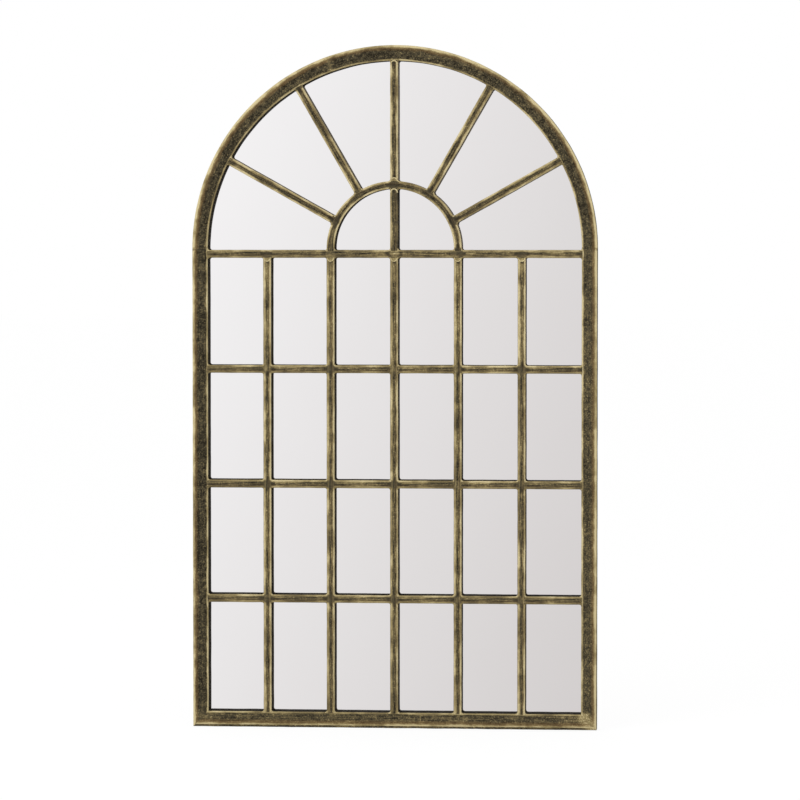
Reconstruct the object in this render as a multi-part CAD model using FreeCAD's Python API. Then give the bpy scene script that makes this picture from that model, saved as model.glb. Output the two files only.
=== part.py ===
import FreeCAD, Part
import math
import os

# Arched window-pane mirror. Millimetres, +Z up, the mirror faces -Y.
# The origin is the middle of the underside of the bottom rail.

# Outer frame of square tube
overall_width = 650.0
spring_height = 769.0
frame_face = 25.0
frame_depth = 25.0
frame_wall = 1.2
frame_corner = 2.0
arch_seam_angle = 109.4
seam_width = 3.0
seam_height = 0.6

# Glazing bars of smaller tube, deeper than wide, flush with the front of the frame
bar_face = 12.7
bar_depth = 16.0
bar_wall = 1.0
bar_corner = 1.5
column_count = 6
cross_row_names = ["upper", "middle", "lower"]
row_pitch = 184.5
transom_drop = 8.0
low_spoke_angle = 29.3
high_spoke_angle = 60.0
weld_leg = 3.0
weld_throat = 1.25
weld_toe = 0.3
weld_run = 5.0

# Mirror sheet and backing board
glass_thickness = 4.0
glass_clearance = 0.6
board_clearance = 1.0
board_chamfer = 0.8

# Screws that tap into the tube
screw_radius = 2.0
screw_reach = 9.0
screw_head_radius = 3.9
screw_head_height = 2.0
tapped_clearance = 0.05

# Turn buttons that hold the board in
button_width = 14.0
button_thickness = 1.2
button_tail = 8.0
button_reach = 32.0
button_lift = 0.3
button_pivot_clearance = 0.06
button_head_clearance = 0.1
rail_button_offset = 150.0
low_button_height = 200.0
strap_button_gap = 103.0
arch_button_angle = 50.0

# Strap hangers with swinging rings
hanger_drop = 64.0
strap_width = 14.0
strap_thickness = 1.2
strap_length = 50.0
strap_corner = 4.0
strap_screw_clearance = 0.2
upper_strap_screw_drop = 27.0
strap_screw_pitch = 15.0
ring_wire_radius = 1.5
ring_running_clearance = 0.08
ring_side_clearance = 2.0
ring_bend = 3.0
ring_leg = 4.0
ring_strap_gap = 0.4

# Rubber wall pads
pad_radius = 8.0
pad_height = 7.0
pad_edge = 1.0
low_pad_height = 40.0
high_pad_drop = 20.0

# Sizes that follow from those above
front = -frame_depth / 2
back = frame_depth / 2
half_width = overall_width / 2
inner_half_width = half_width - frame_face
stile_line = half_width - frame_face / 2
bar_back = front + bar_depth
glass_back = bar_back + glass_thickness
daylight = (2 * inner_half_width - (column_count - 1) * bar_face) / column_count
column_pitch = daylight + bar_face
transom_line = spring_height - transom_drop
transom_top = transom_line + bar_face / 2
transom_bottom = transom_line - bar_face / 2
ring_mid_radius = column_pitch
ring_outer_radius = ring_mid_radius + bar_face / 2
ring_inner_radius = ring_mid_radius - bar_face / 2
hanger_height = spring_height - hanger_drop
high_button_height = hanger_height - strap_length - strap_button_gap - button_reach
strap_back = back + strap_thickness
barrel_bore = ring_wire_radius + ring_running_clearance
barrel_radius = barrel_bore + strap_thickness
ring_line = strap_back + ring_strap_gap + ring_wire_radius
ring_half_width = strap_width / 2 + ring_side_clearance + ring_wire_radius
button_front = back + button_lift
button_back = button_front + button_thickness
depth_axis = FreeCAD.Vector(0, 1, 0)
arch_axis = FreeCAD.Vector(0, -1, 0)
origin = FreeCAD.Vector(0, 0, 0)
arch_centre = FreeCAD.Vector(0, 0, spring_height)


def rounded_section(x0, x1, y0, y1, corner):
    # Flat rectangle with rounded corners, seen along Z
    low_x, high_x = x0 + corner, x1 - corner
    low_y, high_y = y0 + corner, y1 - corner
    slant = corner * math.sqrt(0.5)

    def at(x, y):
        return FreeCAD.Vector(x, y, 0)

    edges = [
        Part.LineSegment(at(low_x, y0), at(high_x, y0)),
        Part.Arc(at(high_x, y0), at(high_x + slant, low_y - slant), at(x1, low_y)),
        Part.LineSegment(at(x1, low_y), at(x1, high_y)),
        Part.Arc(at(x1, high_y), at(high_x + slant, high_y + slant), at(high_x, y1)),
        Part.LineSegment(at(high_x, y1), at(low_x, y1)),
        Part.Arc(at(low_x, y1), at(low_x - slant, high_y + slant), at(x0, high_y)),
        Part.LineSegment(at(x0, high_y), at(x0, low_y)),
        Part.Arc(at(x0, low_y), at(low_x - slant, low_y - slant), at(low_x, y0)),
    ]
    return Part.Face(Part.Wire([edge.toShape() for edge in edges]))


def tube_section(x0, x1, y0, y1, wall, corner):
    outer = rounded_section(x0, x1, y0, y1, corner)
    inner_corner = max(corner - wall, corner / 4)
    return outer.cut(rounded_section(x0 + wall, x1 - wall, y0 + wall, y1 - wall, inner_corner))


def frame_section(x0):
    return tube_section(x0, x0 + frame_face, front, back, frame_wall, frame_corner)


def bar_section(x0):
    return tube_section(x0, x0 + bar_face, front, bar_back, bar_wall, bar_corner)


def aim(shape, x, z, angle):
    # Turns a shape that runs up +Z to run at an angle from +X, starting at x, z
    shape.rotate(origin, depth_axis, 90 - angle)
    shape.translate(FreeCAD.Vector(x, 0, z))
    return shape


def bar(x, z, angle, length):
    face = bar_section(-bar_face / 2).Faces[0]
    return aim(face.extrude(FreeCAD.Vector(0, 0, length)), x, z, angle)


def bar_block(x, z, angle, length):
    # Plain outside of a bar, for trimming the welds to it
    block = Part.makeBox(bar_face, bar_depth, length, FreeCAD.Vector(-bar_face / 2, front, 0))
    return aim(block, x, z, angle)


def bent(section, start, end):
    # Section rolled round the arch centre from one angle to another
    shape = section.Faces[0].revolve(origin, arch_axis, end - start)
    shape.rotate(origin, arch_axis, start)
    shape.translate(arch_centre)
    return shape


def disc(radius):
    # Round plug through the whole depth, centred on the arch
    start = FreeCAD.Vector(0, -2 * frame_depth, spring_height)
    return Part.makeCylinder(radius, 4 * frame_depth, start, depth_axis)


def screw_hole(x, z):
    start = FreeCAD.Vector(x, back - 2 * frame_wall, z)
    return Part.makeCylinder(screw_radius + tapped_clearance, 4 * frame_wall, start, depth_axis)


def screw(x, z, seat):
    # Pan head screw driven towards the front, its head standing on the seat
    shank = Part.makeCylinder(screw_radius, seat - back + screw_reach,
                              FreeCAD.Vector(x, back - screw_reach, z), depth_axis)
    head = Part.makeCylinder(screw_head_radius, screw_head_height, FreeCAD.Vector(x, seat, z), depth_axis)
    rim = [edge for edge in head.Edges if edge.CenterOfMass.y > seat + screw_head_height / 2 and edge.Closed]
    head = head.makeFillet(screw_head_height * 0.4, rim[:1])
    whole = shank.fuse(head).removeSplitter()
    slot_start = FreeCAD.Vector(-screw_head_radius, seat + screw_head_height * 0.5, -screw_head_height / 4)
    slot = Part.makeBox(2 * screw_head_radius, screw_head_height, screw_head_height / 2, slot_start)
    slot.translate(FreeCAD.Vector(x, 0, z))
    return whole.cut(slot)


def prism(points):
    # Flat outline in X and Z carried through the whole depth
    corners = [FreeCAD.Vector(x, -2 * frame_depth, z) for x, z in points]
    outline = Part.makePolygon(corners + corners[:1])
    return Part.Face(outline).extrude(FreeCAD.Vector(0, 4 * frame_depth, 0))


def arched_sheet(margin, y0, y1):
    # Sheet that stands on the bottom rail, with a margin to the stiles and the arch
    half = inner_half_width - margin
    body = Part.makeBox(2 * half, y1 - y0, spring_height - frame_face, FreeCAD.Vector(-half, y0, frame_face))
    top = Part.makeCylinder(half, y1 - y0, FreeCAD.Vector(0, y0, spring_height), depth_axis)
    return body.fuse(top).removeSplitter()


def bottom_rail():
    rail = frame_section(-frame_face).Faces[0].extrude(FreeCAD.Vector(0, 0, overall_width))
    rail = aim(rail, -half_width, 0, 0)
    for side in (-1, 1):
        edge = side * half_width
        beyond = side * (half_width + frame_face)
        rail = rail.cut(prism([(edge - side * frame_face * 2, frame_face * 2), (beyond, -frame_face),
                               (beyond, frame_face * 2)]))
        rail = rail.cut(screw_hole(side * rail_button_offset, frame_face / 2))
    return rail


def stile(side):
    post = frame_section(-frame_face / 2).Faces[0].extrude(FreeCAD.Vector(0, 0, spring_height))
    post.translate(FreeCAD.Vector(side * stile_line, 0, 0))
    edge = side * half_width
    beyond = side * (half_width + frame_face)
    post = post.cut(prism([(edge - side * frame_face * 2, frame_face * 2), (beyond, -frame_face),
                           (edge - side * frame_face * 2, -frame_face)]))
    upper_screw = hanger_height - upper_strap_screw_drop
    for height in (low_button_height, high_button_height, upper_screw, upper_screw - strap_screw_pitch):
        post = post.cut(screw_hole(side * stile_line, height))
    return post


def arch_piece(start, end, button_angle):
    x, z = arch_button_place(button_angle)
    return bent(frame_section(inner_half_width), start, end).cut(screw_hole(x, z))


def arch_button_place(angle):
    turn = math.radians(angle)
    return stile_line * math.cos(turn), spring_height + stile_line * math.sin(turn)


def mullion_line(number):
    return -inner_half_width + number * column_pitch - bar_face / 2


def fan_ring():
    ring = bent(bar_section(ring_inner_radius), 0, 180)
    for side in (-1, 1):
        ring = ring.fuse(bar(side * ring_mid_radius, transom_top, 90, spring_height - transom_top))
    return ring.removeSplitter()


def spoke_reach(angle, offset, radius):
    # Distance along a spoke's edge line from the transom line to a circle round the arch centre
    turn = math.radians(angle)
    across = offset - transom_drop * math.cos(turn)
    return math.sqrt(radius ** 2 - across ** 2) + transom_drop * math.sin(turn)


def fan_spoke(angle):
    # Aimed at the middle of the transom, coped to the ring and to the arch
    blank = bar(0, transom_line, angle, half_width)
    return blank.common(disc(inner_half_width)).cut(disc(ring_outer_radius)).Solids[0]


def fan_stub():
    blank = bar(0, transom_top, 90, ring_mid_radius)
    return blank.common(disc(ring_inner_radius)).Solids[0]


def bead(x, z, angle, ahead, left, members):
    # Hollow fillet near the front of a corner, trimmed to the members it joins.
    # One leg runs ahead along the angle from +X and one to its left, or backwards at -1.
    turn = math.radians(angle)
    middle = weld_throat * math.sqrt(0.5)

    def at(along, across):
        u, v = along * ahead, across * left
        return FreeCAD.Vector(x + u * math.cos(turn) - v * math.sin(turn), front + bar_corner,
                              z + u * math.sin(turn) + v * math.cos(turn))

    edges = [
        Part.LineSegment(at(-weld_toe, -weld_toe), at(weld_leg, -weld_toe)),
        Part.LineSegment(at(weld_leg, -weld_toe), at(weld_leg, weld_toe)),
        Part.Arc(at(weld_leg, weld_toe), at(middle, middle), at(weld_toe, weld_leg)),
        Part.LineSegment(at(weld_toe, weld_leg), at(-weld_toe, weld_leg)),
        Part.LineSegment(at(-weld_toe, weld_leg), at(-weld_toe, -weld_toe)),
    ]
    fillet = Part.Face(Part.Wire([edge.toShape() for edge in edges])).extrude(depth_axis * weld_run)
    for member in members:
        fillet = fillet.cut(member)
    return max(fillet.Solids, key=lambda solid: solid.Volume)


def seam_bead(x, z, angle, length):
    # Low ridge where a butt weld crosses the front of the tube
    radius = (seam_width ** 2 / 4 + seam_height ** 2) / (2 * seam_height)
    middle = FreeCAD.Vector(0, front - seam_height + radius, 0)
    rod = Part.makeCylinder(radius, length, middle, FreeCAD.Vector(0, 0, 1))
    tube_front = FreeCAD.Vector(-2 * radius, front, -length / 2)
    return aim(rod.cut(Part.makeBox(4 * radius, 4 * radius, 2 * length, tube_front)), x, z, angle)


def frame_beads():
    # One across the arch and one down each mitre
    inset = frame_corner + seam_width / 2
    flat = frame_face - 2 * inset
    edge = inner_half_width + inset
    turn = math.radians(arch_seam_angle)
    beads = [seam_bead(edge * math.cos(turn), spring_height + edge * math.sin(turn), arch_seam_angle, flat)]
    for side in (-1, 1):
        mitre = seam_bead(side * edge, frame_face - inset, side * 45 - 90, flat * math.sqrt(2))
        beads.append(mitre)
    return beads


def mullion_beads():
    # Corners at both ends of the mullions and of the transom
    rail = Part.makeBox(overall_width, frame_depth, frame_face, FreeCAD.Vector(-half_width, front, 0))
    transom = bar_block(-inner_half_width, transom_line, 0, 2 * inner_half_width)
    beads = []
    for number in range(1, column_count):
        line = mullion_line(number)
        post = bar_block(line, frame_face, 90, transom_bottom - frame_face)
        for side in (-1, 1):
            edge = line + side * bar_face / 2
            beads.append(bead(edge, frame_face, 0, side, 1, [rail, post]))
            beads.append(bead(edge, transom_bottom, 0, side, -1, [transom, post]))
    for side in (-1, 1):
        post = stile_block(side)
        for height, up in ((transom_bottom, -1), (transom_top, 1)):
            beads.append(bead(side * inner_half_width, height, 0, -side, up, [post, transom]))
    return beads


def stile_block(side):
    corner = FreeCAD.Vector(side * stile_line - frame_face / 2, front, 0)
    return Part.makeBox(frame_face, frame_depth, spring_height + frame_face, corner)


def cross_bar_start(column):
    return -inner_half_width + column * column_pitch


def cross_row_line(row):
    return transom_line - (row + 1) * row_pitch


def cross_bar_beads():
    beads = []
    for row in range(len(cross_row_names)):
        line = cross_row_line(row)
        for column in range(column_count):
            start = cross_bar_start(column)
            block = bar_block(start, line, 0, daylight)
            corner = FreeCAD.Vector(start - bar_face, front, line - row_pitch / 2)
            left = Part.makeBox(bar_face, bar_depth, row_pitch, corner)
            right = left.translated(FreeCAD.Vector(bar_face + daylight, 0, 0))
            for up in (-1, 1):
                height = line + up * bar_face / 2
                beads.append(bead(start, height, 0, 1, up, [left, block]))
                beads.append(bead(start + daylight, height, 0, -1, up, [right, block]))
    return beads


def fan_beads():
    transom = bar_block(-inner_half_width, transom_line, 0, 2 * inner_half_width)
    tyre = disc(half_width).cut(disc(inner_half_width))
    ring = disc(ring_outer_radius)
    hoop = ring.cut(disc(ring_inner_radius))
    beads = []
    for angle in spoke_angles:
        block = bar_block(0, transom_line, angle, half_width)
        turn = math.radians(angle)
        for left in (-1, 1):
            offset = left * bar_face / 2
            for radius, ahead, member in ((ring_outer_radius, 1, ring), (inner_half_width, -1, tyre)):
                reach = spoke_reach(angle, offset, radius)
                x = reach * math.cos(turn) - offset * math.sin(turn)
                z = transom_line + reach * math.sin(turn) + offset * math.cos(turn)
                beads.append(bead(x, z, angle, ahead, left, [member, block]))
    stub = bar_block(0, transom_top, 90, ring_mid_radius)
    for side in (-1, 1):
        edge = side * bar_face / 2
        rise = math.sqrt(ring_inner_radius ** 2 - edge ** 2)
        beads.append(bead(edge, transom_top, 0, side, 1, [transom, stub]))
        beads.append(bead(edge, spring_height + rise, 0, side, -1, [hoop, stub]))
        leg = bar_block(side * ring_mid_radius, transom_top, 90, row_pitch)
        for wide in (-1, 1):
            foot = side * ring_mid_radius + wide * bar_face / 2
            beads.append(bead(foot, transom_top, 0, wide, 1, [transom, leg, hoop]))
    return beads


def turn_button(x, z, angle):
    # Flat strip with round ends, lying across the joint between tube and board
    half = button_width / 2
    strip = Part.makeBox(button_width, button_thickness, button_reach + button_tail - button_width,
                         FreeCAD.Vector(-half, button_front, half - button_tail))
    for end in (half - button_tail, button_reach - half):
        middle = FreeCAD.Vector(0, button_front, end)
        strip = strip.fuse(Part.makeCylinder(half, button_thickness, middle, depth_axis))
    hole = Part.makeCylinder(screw_radius + button_pivot_clearance, 3 * button_thickness,
                             FreeCAD.Vector(0, button_front - button_thickness, 0), depth_axis)
    return aim(strip.removeSplitter().cut(hole), x, z, angle)


def hanger_strap(side):
    # Flat strap with its top rolled into a barrel for the ring
    half = strap_width / 2
    corner = FreeCAD.Vector(-half, back, -strap_length)
    plate = Part.makeBox(strap_width, strap_thickness, strap_length, corner)
    bottom = [edge for edge in plate.Edges if edge.BoundBox.ZMax < 0.01 - strap_length]
    corners = [edge for edge in bottom if edge.BoundBox.XLength < 0.01]
    plate = plate.makeFillet(strap_corner, corners)
    start = FreeCAD.Vector(-half, ring_line, 0)
    along = FreeCAD.Vector(1, 0, 0)
    barrel = Part.makeCylinder(barrel_radius, strap_width, start, along)
    strap = plate.fuse(barrel).removeSplitter()
    strap = strap.cut(Part.makeCylinder(barrel_bore, strap_width, start, along))
    for drop in (upper_strap_screw_drop, upper_strap_screw_drop + strap_screw_pitch):
        strap = strap.cut(Part.makeCylinder(screw_radius + strap_screw_clearance, 3 * strap_thickness,
                                            FreeCAD.Vector(0, back - strap_thickness, -drop), depth_axis))
    strap.translate(FreeCAD.Vector(side * stile_line, 0, hanger_height))
    return strap


def ring_rod(x0, z0, x1, z1):
    start = FreeCAD.Vector(x0, 0, z0)
    run = FreeCAD.Vector(x1, 0, z1) - start
    return Part.makeCylinder(ring_wire_radius, run.Length, start, run)


def ring_elbow(x, z, radius, start, sweep):
    # Bent wire round a centre, from a start angle through a sweep
    wire = Part.Wire(Part.makeCircle(ring_wire_radius, FreeCAD.Vector(radius, 0, 0), FreeCAD.Vector(0, 0, 1)))
    elbow = Part.Face(wire).revolve(origin, arch_axis, sweep)
    elbow.rotate(origin, arch_axis, start)
    elbow.translate(FreeCAD.Vector(x, 0, z))
    return elbow


def hanging_ring(side):
    # Closed ring: a straight side in the barrel, two legs and a round bottom
    bend_line = ring_half_width - ring_bend
    foot = -ring_bend - ring_leg
    ring = ring_rod(-bend_line, 0, bend_line, 0)
    ring = ring.fuse(ring_elbow(bend_line, -ring_bend, ring_bend, 0, 90))
    ring = ring.fuse(ring_elbow(-bend_line, -ring_bend, ring_bend, 90, 90))
    ring = ring.fuse(ring_rod(ring_half_width, -ring_bend, ring_half_width, foot))
    ring = ring.fuse(ring_rod(-ring_half_width, -ring_bend, -ring_half_width, foot))
    ring = ring.fuse(ring_elbow(0, foot, ring_half_width, 180, 180))
    ring.translate(FreeCAD.Vector(side * stile_line, ring_line, hanger_height))
    return ring.removeSplitter()


def wall_pad(x, z):
    pad = Part.makeCylinder(pad_radius, pad_height, FreeCAD.Vector(x, back, z), depth_axis)
    rim = [edge for edge in pad.Edges if edge.CenterOfMass.y > back + pad_height / 2 and edge.Closed]
    return pad.makeFillet(pad_edge, rim[:1])


def backing_board():
    board = arched_sheet(board_clearance, glass_back, back)
    rim = [edge for edge in board.Edges if edge.BoundBox.YMin > back - 0.01]
    return board.makeChamfer(board_chamfer, rim)


spoke_angles = [low_spoke_angle, high_spoke_angle, 90, 180 - high_spoke_angle, 180 - low_spoke_angle]

button_places = {
    "rail_left": (-rail_button_offset, frame_face / 2, 90),
    "rail_right": (rail_button_offset, frame_face / 2, 90),
    "left_low": (-stile_line, low_button_height, 0),
    "left_high": (-stile_line, high_button_height, 0),
    "right_low": (stile_line, low_button_height, 180),
    "right_high": (stile_line, high_button_height, 180),
    "arch_left": arch_button_place(180 - arch_button_angle) + (-arch_button_angle,),
    "arch_right": arch_button_place(arch_button_angle) + (180 + arch_button_angle,),
}

pieces = {}
pieces["bottom_rail"] = bottom_rail()
pieces["left_stile"] = stile(-1)
pieces["right_stile"] = stile(1)
pieces["arch_right"] = arch_piece(0, arch_seam_angle, arch_button_angle)
pieces["arch_left"] = arch_piece(arch_seam_angle, 180, 180 - arch_button_angle)
pieces["transom"] = bar(-inner_half_width, transom_line, 0, 2 * inner_half_width)
for number in range(1, column_count):
    pieces["mullion_%d" % number] = bar(mullion_line(number), frame_face, 90, transom_bottom - frame_face)
for row, row_name in enumerate(cross_row_names):
    for column in range(column_count):
        name = "%s_cross_bar_%d" % (row_name, column + 1)
        pieces[name] = bar(cross_bar_start(column), cross_row_line(row), 0, daylight)
pieces["fan_ring"] = fan_ring()
for number, angle in enumerate(spoke_angles):
    pieces["fan_spoke_%d" % (number + 1)] = fan_spoke(angle)
pieces["fan_stub"] = fan_stub()
pieces["frame_welds"] = Part.makeCompound(frame_beads())
pieces["mullion_welds"] = Part.makeCompound(mullion_beads())
pieces["cross_bar_welds"] = Part.makeCompound(cross_bar_beads())
pieces["fan_welds"] = Part.makeCompound(fan_beads())
pieces["mirror_glass"] = arched_sheet(glass_clearance, bar_back, glass_back)
pieces["backing_board"] = backing_board()

button_screws = []
for place, (x, z, angle) in button_places.items():
    pieces["turn_button_" + place] = turn_button(x, z, angle)
    button_screws.append(screw(x, z, button_back + button_head_clearance))
pieces["turn_button_screws"] = Part.makeCompound(button_screws)

strap_screws = []
pads = []
for side, side_name in ((-1, "left"), (1, "right")):
    pieces[side_name + "_hanger_strap"] = hanger_strap(side)
    pieces[side_name + "_hanging_ring"] = hanging_ring(side)
    upper_screw = hanger_height - upper_strap_screw_drop
    for height in (upper_screw, upper_screw - strap_screw_pitch):
        strap_screws.append(screw(side * stile_line, height, strap_back))
    for height in (low_pad_height, spring_height - high_pad_drop):
        pads.append(wall_pad(side * stile_line, height))
pieces["hanger_screws"] = Part.makeCompound(strap_screws)
pieces["wall_pads"] = Part.makeCompound(pads)

os.makedirs("parts", exist_ok=True)
for name, shape in pieces.items():
    shape.exportStep("parts/%s.step" % name)
print(len(pieces), "pieces")
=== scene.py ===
import bpy
import bmesh
import math
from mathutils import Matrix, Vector


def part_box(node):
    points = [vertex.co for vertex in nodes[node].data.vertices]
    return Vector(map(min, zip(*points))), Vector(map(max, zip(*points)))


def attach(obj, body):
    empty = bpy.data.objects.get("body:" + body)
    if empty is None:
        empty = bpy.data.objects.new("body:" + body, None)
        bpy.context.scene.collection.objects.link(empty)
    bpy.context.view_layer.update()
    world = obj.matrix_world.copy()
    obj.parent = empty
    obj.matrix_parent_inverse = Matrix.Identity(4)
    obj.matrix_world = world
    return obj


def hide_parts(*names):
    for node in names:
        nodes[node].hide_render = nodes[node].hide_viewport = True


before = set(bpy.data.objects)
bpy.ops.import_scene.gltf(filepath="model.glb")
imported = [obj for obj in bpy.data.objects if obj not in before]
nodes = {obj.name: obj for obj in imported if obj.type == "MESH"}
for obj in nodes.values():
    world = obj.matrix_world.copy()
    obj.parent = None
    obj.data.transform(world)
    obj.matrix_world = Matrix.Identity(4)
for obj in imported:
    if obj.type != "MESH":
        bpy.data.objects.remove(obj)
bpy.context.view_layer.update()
scene = bpy.context.scene
print("mirror loaded:", len(nodes), "nodes")

# lines that the tubes and bars are set out on, in metres
settingOut = {"springLine": 0.769, "transomLine": 0.761, "archRadius": 0.3125, "ringRadius": 0.1021,
              "front": -0.0125, "spokeAngles": [29.3, 60.0, 90.0, 120.0, 150.7], "archSeam": 109.4}


# selecting and placing, as by hand

# share of a whole length or normal from which something counts as lying that way
mostly = 0.9


def clearSelection():
    if bpy.context.object and bpy.context.object.mode != "OBJECT":
        bpy.ops.object.mode_set(mode="OBJECT")
    bpy.ops.object.select_all(action="DESELECT")


def activate(piece):
    clearSelection()
    piece.select_set(True)
    bpy.context.view_layer.objects.active = piece


def startEdit(piece):
    activate(piece)
    bpy.ops.object.mode_set(mode="EDIT")


def endEdit():
    bpy.ops.object.mode_set(mode="OBJECT")


def pickEdges(piece, test):
    # edit mode: select the edges whose two ends pass the test
    bpy.ops.mesh.select_mode(type="EDGE")
    bpy.ops.mesh.select_all(action="DESELECT")
    mesh = bmesh.from_edit_mesh(piece.data)
    for edge in mesh.edges:
        edge.select = test(edge.verts[0].co, edge.verts[1].co)
    bmesh.update_edit_mesh(piece.data)


def pickFaces(piece, test):
    # edit mode: select the faces whose centre and normal pass the test
    bpy.ops.mesh.select_mode(type="FACE")
    bpy.ops.mesh.select_all(action="DESELECT")
    mesh = bmesh.from_edit_mesh(piece.data)
    mesh.normal_update()
    for face in mesh.faces:
        face.select = test(face.calc_center_median(), face.normal)
    bmesh.update_edit_mesh(piece.data)


def place(piece, x, y, z, turn=0.0):
    # turn is about the depth axis, in degrees, from upright towards +X
    activate(piece)
    piece.rotation_euler = (0, math.radians(turn), 0)
    piece.location = (x, y, z)
    bpy.ops.object.transform_apply(location=True, rotation=True, scale=True)
    return piece


def sizedCube(name, size, middle):
    clearSelection()
    bpy.ops.mesh.primitive_cube_add(size=1, location=middle)
    cube = bpy.context.object
    cube.name = name
    cube.scale = size
    bpy.ops.object.transform_apply(location=True, rotation=True, scale=True)
    return cube


def applyModifiers(piece):
    activate(piece)
    for modifier in list(piece.modifiers):
        bpy.ops.object.modifier_apply(modifier=modifier.name)


def finishSmooth(piece, degrees=40):
    activate(piece)
    bpy.ops.object.shade_smooth_by_angle(angle=math.radians(degrees))


# two cloud textures give the tubes and the welds the unevenness of hand work
handWork = {"tubeLump": 0.03, "weldLump": 0.0022, "fineness": 2}
handShake = bpy.data.textures.new("handShake", type="CLOUDS")
handShake.noise_scale = handWork["tubeLump"]
handShake.noise_depth = handWork["fineness"]
weldShake = bpy.data.textures.new("weldShake", type="CLOUDS")
weldShake.noise_scale = handWork["weldLump"]
weldShake.noise_depth = handWork["fineness"]


def roughen(piece, height, texture=handShake):
    shake = piece.modifiers.new("shake", "DISPLACE")
    shake.texture = texture
    shake.texture_coords = "LOCAL"
    shake.strength = height
    shake.mid_level = 0.5
    applyModifiers(piece)


tubeMesh = {"cornerSegments": 4, "fewestCuts": 2, "mergeWithin": 0.00001, "backNormal": 0.7}


def wrapUv(piece, face, depth, along, outer=1):
    # u runs round the section from the middle of the front, v runs along the bar, both in metres
    layer = piece.data.uv_layers.new(name="wrap")
    frontY = -depth / 2
    for poly in piece.data.polygons:
        behind = poly.normal.y > tubeMesh["backNormal"]
        for index in poly.loop_indices:
            co = piece.data.vertices[piece.data.loops[index].vertex_index].co
            across, run = along(co)
            deep = co.y - frontY
            if behind:
                u = face + depth - across * outer
            elif deep < depth / 2:
                u = math.copysign(abs(across) + deep, across * outer)
            else:
                u = math.copysign(face + deep - abs(across), across * outer)
            layer.data[index].uv = (u, run)


def markAll(piece, name, value):
    # one value all over the piece, or one for each vertex where a function is given
    marks = piece.data.attributes.new(name, "FLOAT", "POINT")
    for vertex in piece.data.vertices:
        marks.data[vertex.index].value = value(vertex) if callable(value) else value


def markWelds(piece, spots, reach):
    # 1 in the middle of a joint, falling to 0 at the reach
    def nearness(vertex):
        nearest = min(math.hypot(vertex.co.x - x, vertex.co.z - z) for x, z in spots)
        return max(0.0, 1.0 - nearest / reach)

    markAll(piece, "nearWeld", nearness)


def markSeams(piece, seams):
    # 1 on the line of a seam, falling to 0 at its reach, which differs from end to end
    def nearness(vertex):
        spot = Vector((vertex.co.x, vertex.co.z))
        best = 0.0
        for start, end, startReach, endReach in seams:
            along = end - start
            share = min(1.0, max(0.0, (spot - start).dot(along) / along.length_squared))
            reach = startReach + share * (endReach - startReach)
            best = max(best, 1.0 - (spot - start - along * share).length / reach)
        return best

    markAll(piece, "nearWeld", nearness)


def straightTube(name, face, depth, length, edge, step, outer=1):
    # upright tube standing at the origin, its section centred
    tube = sizedCube(name, (face, depth, length), (0, 0, length / 2))
    startEdit(tube)

    def upright(a, b):
        return abs(a.z - b.z) > length * mostly

    pickEdges(tube, upright)
    bpy.ops.mesh.bevel(offset=edge, offset_type="OFFSET", segments=tubeMesh["cornerSegments"],
                       affect="EDGES")
    pickEdges(tube, upright)
    bpy.ops.mesh.subdivide(number_cuts=max(tubeMesh["fewestCuts"], round(length / step)))
    endEdit()
    wrapUv(tube, face, depth, lambda co: (co.x, co.z), outer)
    return tube


def bentTube(name, face, depth, radius, start, end, edge, step):
    # section spun round the depth axis at the origin, from one angle to another
    clearSelection()
    bpy.ops.mesh.primitive_plane_add(size=1, location=(0, 0, 0))
    tube = bpy.context.object
    tube.name = name
    tube.scale = (face, depth, 1)
    tube.location = (radius, 0, 0)
    bpy.ops.object.transform_apply(location=True, rotation=True, scale=True)
    startEdit(tube)
    bpy.ops.mesh.select_all(action="SELECT")
    bpy.ops.mesh.bevel(offset=edge, offset_type="OFFSET", segments=tubeMesh["cornerSegments"],
                       affect="VERTICES")
    bpy.ops.mesh.select_all(action="SELECT")
    turn = math.radians(end - start)
    bpy.ops.mesh.spin(steps=round(turn * radius / step), angle=turn, center=(0, 0, 0), axis=(0, 1, 0))
    bpy.ops.mesh.select_all(action="SELECT")
    bpy.ops.mesh.remove_doubles(threshold=tubeMesh["mergeWithin"])
    bpy.ops.mesh.normals_make_consistent(inside=False)
    endEdit()

    def along(co):
        # off the middle line and along it; the angle runs on past the half turn
        angle = math.atan2(co.z, co.x)
        if angle < -math.pi / 2:
            angle += 2 * math.pi
        return math.hypot(co.x, co.z) - radius, angle * radius

    wrapUv(tube, face, depth, along)
    return place(tube, 0, 0, 0, -start)


# node helpers for the finishes

def newGroup(name, inputs, outputs):
    group = bpy.data.node_groups.new(name, "ShaderNodeTree")
    for label, value in inputs:
        socket = group.interface.new_socket(name=label, in_out="INPUT", socket_type="NodeSocketFloat")
        socket.default_value = value
    for label in outputs:
        group.interface.new_socket(name=label, in_out="OUTPUT", socket_type="NodeSocketFloat")
    return group, group.nodes.new("NodeGroupInput"), group.nodes.new("NodeGroupOutput")


def addNode(tree, kind, **settings):
    node = tree.nodes.new(kind)
    for key, value in settings.items():
        setattr(node, key, value)
    return node


def feed(tree, socket, value):
    # a number is set on the socket, anything else is linked to it
    if isinstance(value, (int, float)):
        socket.default_value = value
    else:
        tree.links.new(value, socket)


def sums(tree, operation, first, second=0.0, clamp=False):
    node = addNode(tree, "ShaderNodeMath", operation=operation, use_clamp=clamp)
    feed(tree, node.inputs[0], first)
    feed(tree, node.inputs[1], second)
    return node.outputs[0]


def times(tree, first, second):
    return sums(tree, "MULTIPLY", first, second)


def plus(tree, first, second):
    return sums(tree, "ADD", first, second)


def remainder(tree, value):
    return sums(tree, "SUBTRACT", 1.0, value)


def bySide(tree, outside, outer, inner):
    # one value where outside is 1, the other where it is 0
    return plus(tree, times(tree, outside, outer), times(tree, remainder(tree, outside), inner))


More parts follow.
